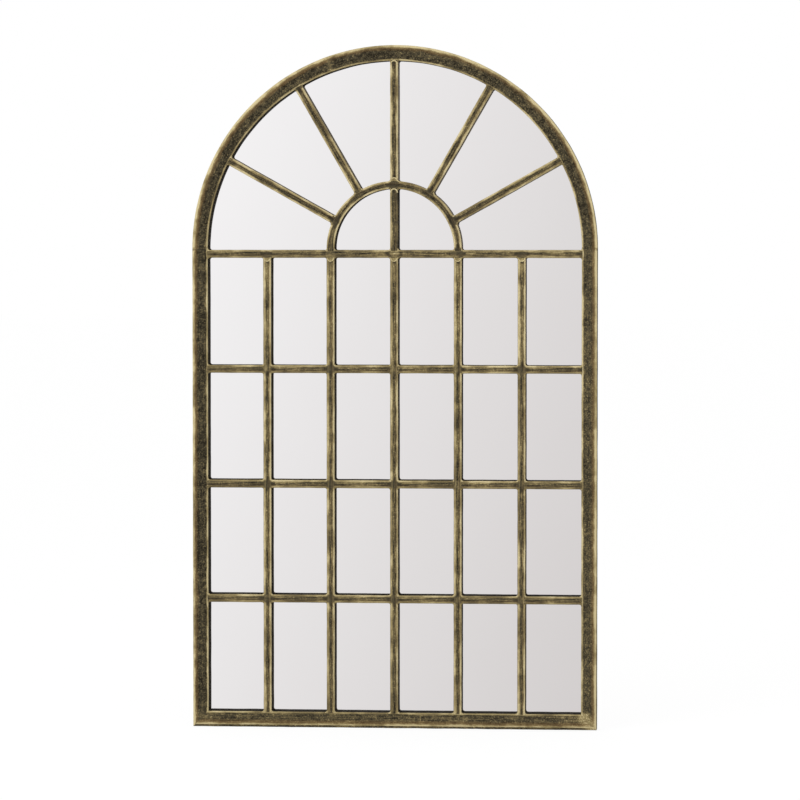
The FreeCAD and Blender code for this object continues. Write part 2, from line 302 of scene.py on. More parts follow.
def ease(tree, value, low, high, toLow=0.0, toHigh=1.0):
    node = addNode(tree, "ShaderNodeMapRange", interpolation_type="SMOOTHSTEP")
    feed(tree, node.inputs["Value"], value)
    for label, number in (("From Min", low), ("From Max", high), ("To Min", toLow), ("To Max", toHigh)):
        feed(tree, node.inputs[label], number)
    return node.outputs["Result"]


def objectPoint(tree):
    return addNode(tree, "ShaderNodeTexCoord").outputs["Object"]


def stretched(tree, vector, scale):
    node = addNode(tree, "ShaderNodeMapping")
    node.inputs["Scale"].default_value = scale
    tree.links.new(vector, node.inputs["Vector"])
    return node.outputs[0]


def noiseOn(tree, vector, scale, detail=4.0, rough=0.55, warp=0.0):
    node = addNode(tree, "ShaderNodeTexNoise")
    node.inputs["Scale"].default_value = scale
    node.inputs["Detail"].default_value = detail
    node.inputs["Roughness"].default_value = rough
    node.inputs["Distortion"].default_value = warp
    tree.links.new(vector, node.inputs["Vector"])
    return node.outputs["Fac"]


def colourRamp(tree, value, stops):
    node = addNode(tree, "ShaderNodeValToRGB")
    ramp = node.color_ramp
    while len(ramp.elements) < len(stops):
        ramp.elements.new(0.5)
    for element, (spot, colour) in zip(ramp.elements, stops):
        element.position = spot
        element.color = (*colour, 1)
    tree.links.new(value, node.inputs["Fac"])
    return node.outputs["Color"]


def mixColours(tree, share, first, second):
    # sockets 6 and 7 of the mix node take the colours, output 2 gives the mix
    node = addNode(tree, "ShaderNodeMix", data_type="RGBA")
    tree.links.new(share, node.inputs["Factor"])
    for socket, colour in ((node.inputs[6], first), (node.inputs[7], second)):
        if isinstance(colour, tuple):
            socket.default_value = (*colour, 1)
        else:
            tree.links.new(colour, socket)
    return node.outputs[2]


def startMaterial(name):
    material = bpy.data.materials.new(name)
    material.use_nodes = True
    tree = material.node_tree
    return material, tree, tree.nodes["Principled BSDF"]


def bumpFrom(tree, shader, height, distance, strength):
    bump = addNode(tree, "ShaderNodeBump")
    bump.inputs["Distance"].default_value = distance
    bump.inputs["Strength"].default_value = strength
    tree.links.new(height, bump.inputs["Height"])
    tree.links.new(bump.outputs[0], shader.inputs["Normal"])


# rubbed paint: gold wiped over black, worn bright along the edges

# scale, detail, roughness and distortion of each noise, the range it is read over, its share of the tone
goldDust = {"broad": (9, 2, 0.5), "patch": (30, 3, 0.5), "cloud": (150, 4, 0.55),
            "fleck": (480, 3, 0.6, 0.4), "grain": (900, 3, 0.6), "cloudRange": (0.30, 0.72),
            "patchRange": (0.30, 0.70, 0.55, 1.0),
            "fleckRange": (0.48, 0.72), "grainMean": 0.5, "cloudShare": 0.46, "fleckShare": 0.70,
            "grainShare": 0.45}


def makeMottle():
    # gold dust left on the black: a cloudy haze, scattered flecks and a fine grain
    group, given, out = newGroup("goldMottle", [("Amount", 1.0)], ["Tone", "Patch", "Grain", "Broad"])
    where = objectPoint(group)
    broad, patch, cloud, fleck, grain = (noiseOn(group, where, *goldDust[key])
                                         for key in ("broad", "patch", "cloud", "fleck", "grain"))
    haze = times(group, ease(group, cloud, *goldDust["cloudRange"]),
                 ease(group, patch, *goldDust["patchRange"]))
    flecks = ease(group, fleck, *goldDust["fleckRange"])
    grit = sums(group, "SUBTRACT", grain, goldDust["grainMean"])
    tone = plus(group, times(group, haze, goldDust["cloudShare"]),
                times(group, flecks, goldDust["fleckShare"]))
    tone = plus(group, tone, times(group, grit, goldDust["grainShare"]))
    group.links.new(times(group, tone, given.outputs["Amount"]), out.inputs["Tone"])
    group.links.new(patch, out.inputs["Patch"])
    group.links.new(grain, out.inputs["Grain"])
    group.links.new(broad, out.inputs["Broad"])
    return group


# distances are inward from the corner of the tube, in metres; u of the wrap runs across, v along
edgeWear = {"streakStretch": (480, 22, 1), "streak": (1.0, 4, 0.6), "raggedStretch": (330, 55, 1),
            "ragged": (1.0, 3, 0.55), "patchSway": 0.8, "raggedSway": 1.4, "meanSway": 1.1, "breadth": 1.1,
            "gold": (0.35, 1.2, 1.0, 0.0), "stain": (0.7, 1.9, 1.0, 0.0), "thin": (0.25, 0.6, 0.32, 0.0),
            "rim": (-0.0024, -0.0012), "front": (-0.0024, -0.0014), "flank": (-0.014, -0.003, 0.35, 1.0)}


def makeEdgeRub():
    # gold along the two front edges of a tube, read from its wrap
    group, given, out = newGroup(
        "edgeRub", [("Half Face", 0.006), ("Outer Width", 0.0025), ("Inner Width", 0.0025),
                    ("Outer Shade Lip", 0.0), ("Inner Lip", 0.0), ("Ragged", 1.0), ("Patch", 0.5)],
        ["Edge", "Stain", "Front", "Flank", "Streak", "Side"])
    uv = addNode(group, "ShaderNodeUVMap", uv_map="wrap").outputs["UV"]
    split = addNode(group, "ShaderNodeSeparateXYZ")
    group.links.new(uv, split.inputs[0])
    across = split.outputs["X"]
    streak = noiseOn(group, stretched(group, uv, edgeWear["streakStretch"]), *edgeWear["streak"])
    ragged = noiseOn(group, stretched(group, uv, edgeWear["raggedStretch"]), *edgeWear["ragged"])
    inward = sums(group, "SUBTRACT", given.outputs["Half Face"], sums(group, "ABSOLUTE", across))
    outside = sums(group, "GREATER_THAN", across, 0.0)
    width = bySide(group, outside, given.outputs["Outer Width"], given.outputs["Inner Width"])
    lip = bySide(group, outside, given.outputs["Outer Shade Lip"], given.outputs["Inner Lip"])
    wander = plus(group, times(group, given.outputs["Patch"], edgeWear["patchSway"]),
                  times(group, ragged, edgeWear["raggedSway"]))
    wander = times(group, sums(group, "SUBTRACT", wander, edgeWear["meanSway"]), given.outputs["Ragged"])
    reach = times(group, width, plus(group, wander, edgeWear["breadth"]))
    share = sums(group, "DIVIDE", inward, reach)
    edge = ease(group, share, *edgeWear["gold"])
    # brown stain where the gold of an outer edge thins out
    stain = times(group, ease(group, share, *edgeWear["stain"]), remainder(group, edge))
    thin = times(group, ease(group, ragged, *edgeWear["thin"]), given.outputs["Ragged"])
    edge = times(group, edge, remainder(group, thin))
    # the rounded corner outside the lip gets no gold: the outer lip is painted shade on right and lower
    # edges
    goldOffLip = ease(group, sums(group, "SUBTRACT", inward, lip), *edgeWear["rim"])
    front = ease(group, inward, *edgeWear["front"])
    # the sides get darker towards the back, where they meet the glass: partly less rubbing, partly painted
    # shade
    flank = times(group, ease(group, inward, *edgeWear["flank"]), remainder(group, front))
    for label, value in (("Edge", times(group, edge, goldOffLip)), ("Stain", times(group, stain, outside)),
                         ("Front", front), ("Flank", flank), ("Streak", streak), ("Side", outside)):
        group.links.new(value, out.inputs[label])
    return group


goldMottle = makeMottle()
edgeRub = makeEdgeRub()

rubbedColours = [(0.0, (0.012, 0.0096, 0.0056)), (0.25, (0.074, 0.061, 0.035)), (0.5, (0.200, 0.153, 0.070)),
                 (0.75, (0.400, 0.316, 0.148)), (1.0, (0.720, 0.608, 0.340))]
stainBrown = (0.240, 0.140, 0.052)
paintSheen = {"metallic": (0.25, 0.95, 0.0, 0.35), "roughness": (0.0, 0.3, 0.88, 0.45), "specular": 0.12,
              "bump": (0.0004, 0.4)}


def paintFrom(tree, shader, tone, height, stain=None):
    colour = colourRamp(tree, tone, rubbedColours)
    if stain:
        colour = mixColours(tree, stain, colour, stainBrown)
    tree.links.new(colour, shader.inputs["Base Color"])
    tree.links.new(ease(tree, tone, *paintSheen["metallic"]), shader.inputs["Metallic"])
    tree.links.new(ease(tree, tone, *paintSheen["roughness"]), shader.inputs["Roughness"])
    shader.inputs["Specular IOR Level"].default_value = paintSheen["specular"]
    bumpFrom(tree, shader, height, *paintSheen["bump"])


def attributeOn(tree, name):
    return addNode(tree, "ShaderNodeAttribute", attribute_name=name).outputs["Fac"]


# where noise and the nearness of a weld begin and end to change the paint, and by how much
paintRange = {"streak": (0.40, 0.65), "patchy": (0.32, 0.66), "scorchNear": (0.12, 0.40),
              "scorchPatch": (0.42, 0.56), "edgeAtWeld": (0.46, 0.63), "edgeAtButt": (0.3, 0.9, 1.0, 0.55),
              "patchGold": (0.36, 0.64, -0.20, 0.10), "broadGold": (0.38, 0.60, -0.16, 0.08),
              "dustGold": 0.15, "streakHeight": 0.5, "grainHeight": 0.5}


def rubbedPaint(name, look):
    material, tree, shader = startMaterial(name)
    mottle = addNode(tree, "ShaderNodeGroup", node_tree=goldMottle)
    mottle.inputs["Amount"].default_value = look["haze"]
    dust, patch, grain, broad = (mottle.outputs[label] for label in ("Tone", "Patch", "Grain", "Broad"))
    rub = addNode(tree, "ShaderNodeGroup", node_tree=edgeRub)
    for label, key in (("Half Face", "halfFace"), ("Outer Width", "outerWidth"),
                       ("Inner Width", "innerWidth"), ("Outer Shade Lip", "outerShadeLip"), ("Inner Lip", "innerLip"),
                       ("Ragged", "ragged")):
        rub.inputs[label].default_value = look[key]
    tree.links.new(patch, rub.inputs["Patch"])
    outside = rub.outputs["Side"]
    weld = attributeOn(tree, "nearWeld")
    streak = times(tree, ease(tree, rub.outputs["Streak"], *paintRange["streak"]), look["streaks"])
    face = plus(tree, plus(tree, dust, streak), look["ground"])
    face = plus(tree, face, ease(tree, patch, *paintRange["patchy"], -look["patchy"], look["patchy"]))
    face = plus(tree, face, times(tree, attributeOn(tree, "nearRail"), look["atRail"]))
    # some welds are scorched dark all round, the others wiped with gold
    scorch = times(tree, ease(tree, weld, *paintRange["scorchNear"]),
                   ease(tree, patch, *paintRange["scorchPatch"], 0.0, look["scorch"]))
    wipe = times(tree, ease(tree, weld, *look["wipeRange"]), look["wipe"])
    face = times(tree, plus(tree, face, wipe), remainder(tree, scorch))
    edge = times(tree, rub.outputs["Edge"],
                 ease(tree, weld, *paintRange["edgeAtWeld"], 1.0, look["edgeAtWeld"]))
    edge = times(tree, edge, ease(tree, attributeOn(tree, "nearButt"), *paintRange["edgeAtButt"]))
    innerTone, outerTone = look["edgeTone"]
    gold = bySide(tree, outside, outerTone, innerTone)
    gold = plus(tree, gold, ease(tree, patch, *paintRange["patchGold"]))
    gold = plus(tree, gold, ease(tree, broad, *paintRange["broadGold"]))
    gold = plus(tree, gold, times(tree, dust, paintRange["dustGold"]))
    front = plus(tree, times(tree, face, remainder(tree, edge)), times(tree, gold, edge))
    # the sides take their own tone: partly unrubbed paint, partly painted shade in the reveals
    innerFlank, outerFlank = look["flanks"]
    flank = plus(tree, dust, bySide(tree, outside, outerFlank, innerFlank))
    flank = times(tree, flank, rub.outputs["Flank"])
    tone = sums(tree, "MAXIMUM", times(tree, front, rub.outputs["Front"]), flank, clamp=True)
    height = plus(tree, times(tree, rub.outputs["Streak"], paintRange["streakHeight"]),
                  times(tree, grain, paintRange["grainHeight"]))
    stain = times(tree, times(tree, rub.outputs["Stain"], rub.outputs["Front"]), look["stain"])
    paintFrom(tree, shader, tone, height, stain)
    return material


beadLook = {"haze": 0.45, "facing": (-0.5, 0.4, 0.45, 1.0)}


def weldPaint():
    # gold where a weld faces forward and was wiped, duller on its sides
    material, tree, shader = startMaterial("weldPaint")
    mottle = addNode(tree, "ShaderNodeGroup", node_tree=goldMottle)
    mottle.inputs["Amount"].default_value = beadLook["haze"]
    facing = ease(tree, attributeOn(tree, "forward"), *beadLook["facing"])
    tone = times(tree, plus(tree, mottle.outputs["Tone"], attributeOn(tree, "wiped")), facing)
    paintFrom(tree, shader, sums(tree, "MAXIMUM", tone, 0.0, clamp=True), mottle.outputs["Grain"])
    return material


# pairs are for the inner and the outer edge or side
# a bar's outer side is the one to its right as it leaves its start
# flanks are the tones of the sides; the low ones are partly unrubbed paint, partly painted shade in the
# reveals
frameLook = {"halfFace": 0.0125, "outerWidth": 0.0050, "innerWidth": 0.0028, "outerShadeLip": 0.0,
             "innerLip": 0.0, "ragged": 0.8, "edgeTone": (1.08, 1.0), "haze": 0.68, "streaks": 0.10,
             "ground": -0.028, "patchy": 0.02, "atRail": 0.10, "scorch": 0.0, "wipe": 0.28,
             "wipeRange": (0.1, 0.9), "edgeAtWeld": 1.0, "flanks": (-0.15, 0.05), "stain": 0.5}
archLook = dict(frameLook, outerWidth=0.0052, edgeTone=(0.90, 1.04), ground=-0.015)
leftArchLook = dict(archLook, outerWidth=0.0059, edgeTone=(0.88, 1.05), stain=0.6)
# its outer lip is painted shade along the right edge, where the rounding turns from the light
rightLook = dict(frameLook, outerShadeLip=0.0016, outerWidth=0.0056, innerWidth=0.0032, edgeTone=(0.96, 1.06),
                 ground=0.047, atRail=0.02, wipe=0.46, ragged=0.5)
# its outer lip is painted shade along the lower edge, where the rounding turns from the light
railLook = dict(frameLook, outerShadeLip=0.0056, outerWidth=0.0074, edgeTone=(0.80, 1.10), streaks=0.26,
                ground=0.02, wipe=0.46, ragged=0.4)
mullionLook = dict(frameLook, halfFace=0.00635, outerWidth=0.0032, innerWidth=0.0046, innerLip=0.0018,
                   ragged=0.7, edgeTone=(0.82, 0.97), haze=0.54, streaks=0.42, ground=0.02, patchy=0.06,
                   scorch=0.6, wipe=0.21, wipeRange=(0.45, 0.68), edgeAtWeld=0.2, flanks=(0.0, 0.0),
                   stain=0.15)
# their outer lip is painted shade along the lower edge of each cross bar
crossLook = dict(mullionLook, outerWidth=0.0038, innerWidth=0.0032, outerShadeLip=0.0014, innerLip=0.0,
                 edgeTone=(0.80, 0.68), streaks=0.46, ground=0.05, flanks=(-0.10, -0.10))
# the spokes and the outside of the ring were wiped round their sides as well
fanLook = dict(mullionLook, outerWidth=0.0034, innerWidth=0.0034, innerLip=0.0, edgeTone=(0.94, 0.94),
               wipe=0.04, ground=-0.01, patchy=0.04, flanks=(0.43, 0.43))
ringLook = dict(fanLook, flanks=(-0.10, 0.43))
stubLook = dict(fanLook, edgeTone=(0.92, 0.5), flanks=(-0.10, -0.10))
framePaint = rubbedPaint("framePaint", frameLook)
archPaint = rubbedPaint("archPaint", archLook)
leftArchPaint = rubbedPaint("leftArchPaint", leftArchLook)
rightPaint = rubbedPaint("rightStilePaint", rightLook)
railPaint = rubbedPaint("railPaint", railLook)
mullionPaint = rubbedPaint("mullionPaint", mullionLook)
crossPaint = rubbedPaint("crossBarPaint", crossLook)
fanPaint = rubbedPaint("fanPaint", fanLook)
ringPaint = rubbedPaint("ringPaint", ringLook)
stubPaint = rubbedPaint("stubPaint", stubLook)
beadPaint = weldPaint()
print("paint mixed")


def dress(piece, material, *replaced):
    piece.data.materials.clear()
    piece.data.materials.append(material)
    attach(piece, "mirror")
    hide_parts(*replaced)
    return piece


# frame tubes: two stiles, the bottom rail and the arch in two lengths

frameTube = {"face": 0.025, "depth": 0.025, "edge": 0.002, "step": 0.006, "shake": 0.0006,
             "seamReach": 0.007, "cornerReach": (0.008, 0.026), "buttReach": 0.006}
barTube = {"face": 0.0127, "depth": 0.016, "edge": 0.0015, "step": 0.004, "shake": 0.0006, "sink": 0.0013,
           "weldReach": 0.018, "behindCross": 0.00635, "behindButt": 0.0030, "ringLegs": 1.8}
frameHalf = settingOut["archRadius"] + frameTube["face"] / 2
archInside = settingOut["archRadius"] - frameTube["face"] / 2
barMiddle = settingOut["front"] + barTube["depth"] / 2


def archPoint(angle, radius):
    turn = math.radians(angle)
    return radius * math.cos(turn), settingOut["springLine"] + radius * math.sin(turn)


def cutMitre(piece, point, normal):
    startEdit(piece)
    bpy.ops.mesh.select_all(action="SELECT")
    bpy.ops.mesh.bisect(plane_co=point, plane_no=normal, use_fill=True, clear_outer=True)
    endEdit()


def listSeams():
    # start, end and reach at both of the gold wiped over the arch's weld and over the right mitre
    arch = [Vector(archPoint(settingOut["archSeam"], radius)) for radius in (archInside, frameHalf)]
    mitre = [Vector((archInside, frameTube["face"])), Vector((frameHalf, 0))]
    seamReach = frameTube["seamReach"]
    return [(*arch, seamReach, seamReach), (*mitre, *frameTube["cornerReach"])]


def makeFrame():
    face, depth, edge, step = (frameTube[key] for key in ("face", "depth", "edge", "step"))
    spring = settingOut["springLine"]
    made = []
    for side, name, paint in ((-1, "left_stile", framePaint), (1, "right_stile", rightPaint)):
        stile = straightTube(name + "Tube", face, depth, spring, edge, step, side)
        place(stile, side * settingOut["archRadius"], 0, 0)
        cutMitre(stile, (side * frameHalf, 0, 0), (-side, 0, -1))
        made.append((stile, name, paint))
    rail = straightTube("bottom_railTube", face, depth, 2 * frameHalf, edge, step)
    place(rail, -frameHalf, 0, face / 2, 90)
    for side in (-1, 1):
        cutMitre(rail, (side * frameHalf, 0, 0), (side, 0, 1))
    made.append((rail, "bottom_rail", railPaint))
    seamAngle = settingOut["archSeam"]
    for name, start, end, paint in (("arch_right", 0, seamAngle, archPaint),
                                    ("arch_left", seamAngle, 180, leftArchPaint)):
        arch = bentTube(name + "Tube", face, depth, settingOut["archRadius"], start, end, edge, step)
        made.append((place(arch, 0, 0, spring), name, paint))
    seams = listSeams()

    def nearRail(vertex):
        # 1 on the mitre, falling to 0 up the stile
        above = vertex.co.z + abs(vertex.co.x) - frameHalf
        return max(0.0, 1.0 - above / frameTube["cornerReach"][1])

    def nearButt(vertex):
        # the gold breaks where the arch butts on the stiles
        return max(0.0, 1.0 - abs(vertex.co.z - spring) / frameTube["buttReach"])

    for piece, name, paint in made:
        markSeams(piece, seams)
        if name.endswith("_stile"):
            markAll(piece, "nearRail", nearRail)
        markAll(piece, "nearButt", nearButt)
        roughen(piece, frameTube["shake"])
        finishSmooth(piece)
        dress(piece, paint, name)


makeFrame()
print("frame tubes done")


# glazing bars, each sunk a little into what it is welded to

def spokeReach(angle, radius):
    # from the middle of the transom along a spoke to a circle round the arch centre
    drop = settingOut["springLine"] - settingOut["transomLine"]
    turn = math.radians(angle)
    return math.sqrt(radius ** 2 - (drop * math.cos(turn)) ** 2) + drop * math.sin(turn)


def spokePoint(angle, radius):
    reach = spokeReach(angle, radius)
    turn = math.radians(angle)
    return reach * math.cos(turn), settingOut["transomLine"] + reach * math.sin(turn)


def listBars():
    # node, x and z of the start, angle from +X and length of each straight bar
    bars = []
    for node in nodes:
        low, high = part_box(node)
        middle = (low + high) / 2
        if node.endswith("_welds"):
            continue
        if "_cross_bar_" in node or node == "transom":
            bars.append((node, low.x, middle.z, 0, high.x - low.x))
        elif node.startswith("mullion_") or node == "fan_stub":
            bars.append((node, middle.x, low.z, 90, high.z - low.z))
    ringOutside = settingOut["ringRadius"] + barTube["face"] / 2
    for number, angle in enumerate(settingOut["spokeAngles"]):
        length = spokeReach(angle, archInside) - spokeReach(angle, ringOutside)
        bars.append(("fan_spoke_%d" % (number + 1), *spokePoint(angle, ringOutside), angle, length))
    return bars


def listJoints(bars):
    # where a bar butts: x, z, the way it leaves the joint, and the group of welds it belongs to
    joints = []
    for node, x, z, angle, length in bars:
        turn = math.radians(angle)
        if "_cross_bar_" in node:
            group = "cross_bar_welds"
        elif node.startswith("mullion_") or node == "transom":
            group = "mullion_welds"
        else:
            group = "fan_welds"
        joints.append((x, z, angle, group))
        joints.append((x + length * math.cos(turn), z + length * math.sin(turn), angle + 180, group))
    legTop = settingOut["transomLine"] + barTube["face"] / 2
    for side in (-1, 1):
        joints.append((side * settingOut["ringRadius"], legTop, 90, "fan_welds"))
    return joints


def barPaint(node):
    if node == "fan_stub":
        return stubPaint
    if node.startswith("fan_"):
        return fanPaint
    return mullionPaint if node.startswith("mullion_") else crossPaint


def layBar(node, x, z, angle, length, spots):
    sink = barTube["sink"]
    bar = straightTube(node + "Bar", barTube["face"], barTube["depth"], length + 2 * sink, barTube["edge"],
                       barTube["step"])
    turn = math.radians(angle)
    place(bar, x - sink * math.cos(turn), barMiddle, z - sink * math.sin(turn), 90 - angle)
    markWelds(bar, spots, barTube["weldReach"])
    roughen(bar, barTube["shake"])
    finishSmooth(bar)
    dress(bar, barPaint(node), node)


def layRing(spots):
    # its legs run on past the half turn by some degrees, down to the transom
    legs = barTube["ringLegs"]
    ring = bentTube("fan_ringBar", barTube["face"], barTube["depth"], settingOut["ringRadius"],
                    -legs, 180 + legs, barTube["edge"], barTube["step"])
    place(ring, 0, barMiddle, settingOut["springLine"])
    markWelds(ring, spots, barTube["weldReach"])
    roughen(ring, barTube["shake"])
    finishSmooth(ring)
    dress(ring, ringPaint, "fan_ring")


def weldSpot(x, z, angle, group):
    # behind the butted end: in the middle of a crossing, nearer the end where no bar meets it from behind
    behind = barTube["behindCross" if group == "cross_bar_welds" else "behindButt"]
    back = math.radians(angle + 180)
    return x + behind * math.cos(back), z + behind * math.sin(back)


bars = listBars()
joints = listJoints(bars)
# the gold runs on down to the bottom rail, so the feet on it are no scorched spots
weldSpots = [weldSpot(*joint) for joint in joints if joint[1] > 2 * frameTube["face"]]
for bar in bars:
    layBar(*bar, weldSpots)
layRing(weldSpots)
print("glazing bars done:", len(bars) + 1)


# welds: a hollow fillet in each corner, a tongue or a rim at some of the ends, and the seams of the frame

# lowGold, on corners that open downward, is below wiped on upper ones: painted highlight and shade
cornerWeld = {"leg": 0.0026, "under": 0.0018, "depth": 0.0035, "cut": 0.97, "cutSegments": 6,
              "hollow": 0.10, "edge": 0.0014, "recess": 0.0001, "lumps": 0.0002, "wiped": 0.74,
              "lowGold": 0.46, "smooth": 50}
rimWeld = {"radius": 0.0052, "wire": 0.0010, "height": 0.45, "lap": 0.0006, "segments": (28, 8),
           "wiped": 0.85}
tongueWeld = {"radius": 0.0060, "proud": 0.0006, "root": 0.0008, "rim": 0.0012, "slope": 0.0006,
              "dish": 0.0004, "lap": 0.0003, "sides": 40, "wiped": 0.82, "dishWiped": 0.50}
seamWeld = {"width": 0.003, "height": 0.0005, "lowHeight": 0.0002, "root": 0.0004, "sides": 64, "cuts": 24,
            "taper": 0.10, "drop": 0.6, "lumps": 0.0003, "mitreInset": 0.005, "lowInset": 0.008,
            "archInset": 0.0045, "mitreWiped": 0.56, "lowGold": 0.20, "archWiped": 0.34}


def makeFillet(wiped):
    # corner at the origin with legs along +X and +Z, hollow between them
    # it reaches under the round edges of the bars
    leg, under, depth = (cornerWeld[key] for key in ("leg", "under", "depth"))
    size, middle = leg + under, (leg - under) / 2
    fillet = sizedCube("fillet", (size, depth, size), (middle, 0, middle))
    startEdit(fillet)
    pickEdges(fillet, lambda a, b: min(a.x, b.x, a.z, b.z) > leg * mostly)
    bpy.ops.mesh.bevel(offset=leg * cornerWeld["cut"], offset_type="OFFSET", profile=cornerWeld["hollow"],
                       segments=cornerWeld["cutSegments"], affect="EDGES")
    # its front edge is as round as a bar's
    pickEdges(fillet, lambda a, b: max(a.y, b.y) < -depth / 2 * mostly and min(a.x, b.x, a.z, b.z) > 0)
    bpy.ops.mesh.bevel(offset=cornerWeld["edge"], offset_type="OFFSET", segments=tubeMesh["cornerSegments"],
                       affect="EDGES")
    bpy.ops.mesh.select_all(action="SELECT")
    bpy.ops.mesh.normals_make_consistent(inside=False)
    endEdit()
    markAll(fillet, "wiped", wiped)
    return fillet


def makeRim():
    # half ring that lies on the front of a bar and opens towards the joint
    around, across = rimWeld["segments"]
    clearSelection()
    bpy.ops.mesh.primitive_torus_add(major_radius=rimWeld["radius"], minor_radius=rimWeld["wire"],
                                     major_segments=around, minor_segments=across,
                                     rotation=(math.pi / 2, 0, 0))
    rim = bpy.context.object
    rim.name = "rim"
    rim.scale = (1, 1, rimWeld["height"])
    bpy.ops.object.transform_apply(location=True, rotation=True, scale=True)
    startEdit(rim)
    bpy.ops.mesh.select_all(action="SELECT")
    bpy.ops.mesh.bisect(plane_co=(-rimWeld["lap"], 0, 0), plane_no=(-1, 0, 0), use_fill=True,
                        clear_outer=True)
    endEdit()
    markAll(rim, "wiped", rimWeld["wiped"])
    return rim


def makeTongue():
    # dished half disc lapping from a joint at the origin on to the front of a bar along +X
    radius, proud, root = (tongueWeld[key] for key in ("radius", "proud", "root"))
    clearSelection()
    bpy.ops.mesh.primitive_cylinder_add(vertices=tongueWeld["sides"], radius=radius, depth=proud + root,
                                        rotation=(math.pi / 2, 0, 0), location=(0, (root - proud) / 2, 0))
    tongue = bpy.context.object
    tongue.name = "tongue"
    bpy.ops.object.transform_apply(location=True, rotation=True, scale=True)
    startEdit(tongue)
    pickFaces(tongue, lambda middle, normal: normal.y < -mostly)
    bpy.ops.mesh.inset(thickness=tongueWeld["rim"], depth=0)
    bpy.ops.mesh.inset(thickness=tongueWeld["slope"], depth=0)
    bpy.ops.transform.translate(value=(0, tongueWeld["dish"], 0))
    bpy.ops.mesh.select_all(action="SELECT")
    bpy.ops.mesh.bisect(plane_co=(-tongueWeld["lap"], 0, 0), plane_no=(-1, 0, 0), use_fill=True,
                        clear_outer=True)
    endEdit()

    def wiped(vertex):
        inDish = vertex.co.y > tongueWeld["dish"] / 2 - proud
        return tongueWeld["dishWiped" if inDish else "wiped"]

    markAll(tongue, "wiped", wiped)
    return tongue


def copyTo(template, x, y, z, turn):
    # turn is from +X towards +Z
    twin = template.copy()
    twin.data = template.data.copy()
    scene.collection.objects.link(twin)
    return place(twin, x, y, z, -turn)


def joinAs(name, pieces):
    clearSelection()
    for piece in pieces:
        piece.select_set(True)
    bpy.context.view_layer.objects.active = pieces[0]
    bpy.ops.object.join()
    pieces[0].name = name
    return pieces[0]


def finishWelds(node, made, lumps):
    weld = joinAs(node + "Beads", made)
    markAll(weld, "forward", lambda vertex: -vertex.normal.y)
    roughen(weld, lumps, weldShake)
    finishSmooth(weld, cornerWeld["smooth"])
    dress(weld, beadPaint, node)


def makeWelds():
    fillet, lowFillet = (makeFillet(cornerWeld[key]) for key in ("wiped", "lowGold"))
    rim, tongue = makeRim(), makeTongue()
    half = barTube["face"] / 2
    filletMiddle = settingOut["front"] + cornerWeld["recess"] + cornerWeld["depth"] / 2
    groups = {}
    for x, z, angle, group in joints:
        made = groups.setdefault(group, [])
        turn = math.radians(angle)
        for side in (-1, 1):
            cornerX, cornerZ = x - side * half * math.sin(turn), z + side * half * math.cos(turn)
            legTurn = angle if side > 0 else angle - 90
            # the corners that open upward get more gold, a painted highlight of light from above
            opensUp = math.sin(math.radians(legTurn + 45)) > 0
            made.append(copyTo(fillet if opensUp else lowFillet, cornerX, filletMiddle, cornerZ, legTurn))
        # a tongue below the transom and above the ring, an arched rim on the stub
        aboveRing = angle == 90 and z > settingOut["springLine"]
        if aboveRing or angle == 270 and group == "mullion_welds":
            made.append(copyTo(tongue, x, settingOut["front"], z, angle))
        elif angle == 270:
            made.append(copyTo(rim, x, settingOut["front"], z - rimWeld["radius"], angle - 180))
    for group, made in groups.items():
        finishWelds(group, made, cornerWeld["lumps"])
    for template in (fillet, lowFillet, rim, tongue):
        bpy.data.objects.remove(template)


def seamBar(name, length, height, wiped):
    # low ridge standing along +Z: the crown of a round bar that is sunk into the front face
    radius = (seamWeld["width"] ** 2 / 4 + height ** 2) / (2 * height)
    clearSelection()
    bpy.ops.mesh.primitive_cylinder_add(vertices=seamWeld["sides"], radius=radius, depth=length,
                                        location=(0, radius - height, length / 2))
    ridge = bpy.context.object
    ridge.name = name
    bpy.ops.object.transform_apply(location=True, rotation=True, scale=True)
    startEdit(ridge)
    bpy.ops.mesh.select_all(action="SELECT")
    bpy.ops.mesh.bisect(plane_co=(0, seamWeld["root"], 0), plane_no=(0, 1, 0), use_fill=True,
                        clear_outer=True)
    pickEdges(ridge, lambda a, b: abs(a.z - b.z) > length * mostly)
    bpy.ops.mesh.subdivide(number_cuts=seamWeld["cuts"])
    # both ends run down into the tube
    for share in (seamWeld["taper"], seamWeld["taper"] / 3):
        pickEdges(ridge, lambda a, b: min(min(a.z, b.z), length - max(a.z, b.z)) < length * share)
        bpy.ops.transform.translate(value=(0, height * seamWeld["drop"], 0))
    endEdit()
    markAll(ridge, "wiped", wiped)
    return ridge


def makeSeams():
    face, front, edge = frameTube["face"], settingOut["front"], frameTube["edge"]
    inset = seamWeld["archInset"]
    startX, startZ = archPoint(settingOut["archSeam"], archInside + inset)
    arch = seamBar("archSeam", face - 2 * inset, seamWeld["height"], seamWeld["archWiped"])
    made = [place(arch, startX, front, startZ, 90 - settingOut["archSeam"])]
    # the left mitre was filed low, the right one was wiped with gold
    for side, height, inset, wiped in (
            (-1, seamWeld["lowHeight"], seamWeld["lowInset"], seamWeld["lowGold"]),
            (1, seamWeld["height"], seamWeld["mitreInset"], seamWeld["mitreWiped"])):
        ridge = seamBar("mitreSeam", (face - inset - 2 * edge) * math.sqrt(2), height, wiped)
        made.append(place(ridge, side * (frameHalf - inset), front, inset, -45 * side))
    finishWelds("frame_welds", made, seamWeld["lumps"])


makeWelds()
makeSeams()


# the silvered sheet; the board and the fittings keep their solids and get finishes

# glass bends light, so its silvered back is seen at about two thirds of its thickness
mirrorSheet = {"silverShows": 0.0027, "arris": 0.0003, "arrisSegments": 2, "arrisAngle": 60, "seat": 0.0008,
               "sides": 160, "smooth": 20, "levelWithin": 0.0001}
